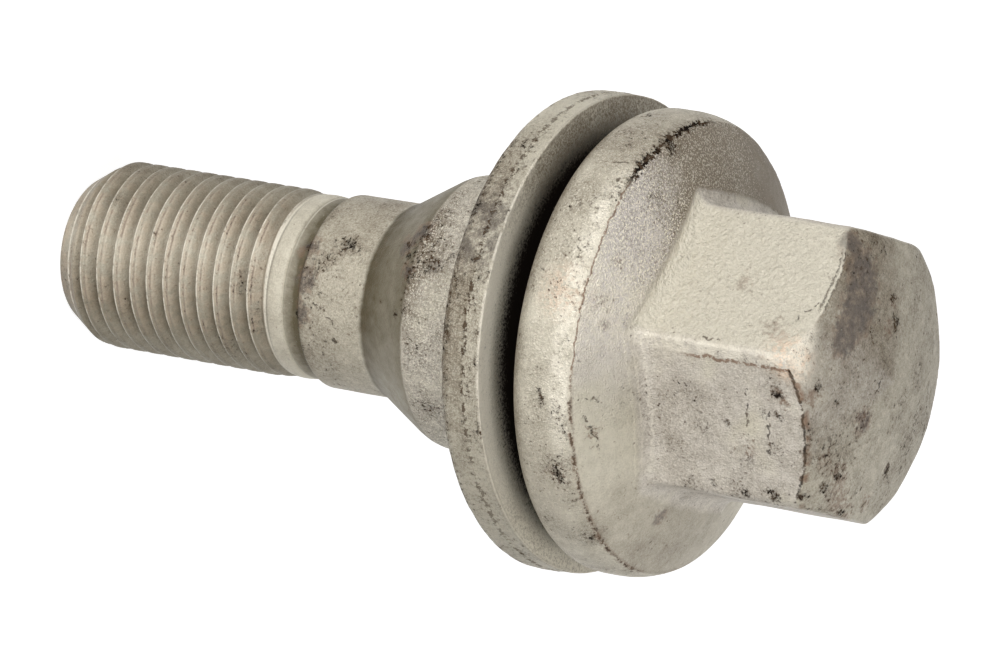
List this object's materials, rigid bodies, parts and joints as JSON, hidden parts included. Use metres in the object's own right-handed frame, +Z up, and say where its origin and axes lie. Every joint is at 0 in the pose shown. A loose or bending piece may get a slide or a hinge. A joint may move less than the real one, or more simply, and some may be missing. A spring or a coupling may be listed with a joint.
{
  "type": "wheel bolt",
  "caption": "Hex-headed wheel bolt with a domed flange, a locating cone, a threaded end and a loose washer held under the flange, which turns freely.",
  "frame": {"origin": "centre of the flat thread end, which the bolt stands on", "axes": "+Z up the bolt's axis from the thread end to the head; two corners of the hexagon lie on the X axis"},
  "size_m": [0.0296, 0.0296, 0.0571],
  "materials": {
    "bolt_coating": "forged steel with a matte, warm grey zinc flake coating, lightly worn",
    "washer_coating": "pressed steel with a matte, warm grey zinc flake coating, lightly worn"
  },
  "bodies": {
    "bolt": {"bolt": "bolt_coating"},
    "washer": {"captive_washer": "washer_coating"}
  },
  "joints": [
    {"name": "washer_spin", "type": "hinge", "parent": "bolt", "child": "washer", "pos_m": [0, 0, 0.03614], "axis": [0, 0, 1], "continuous": true}
  ]
}
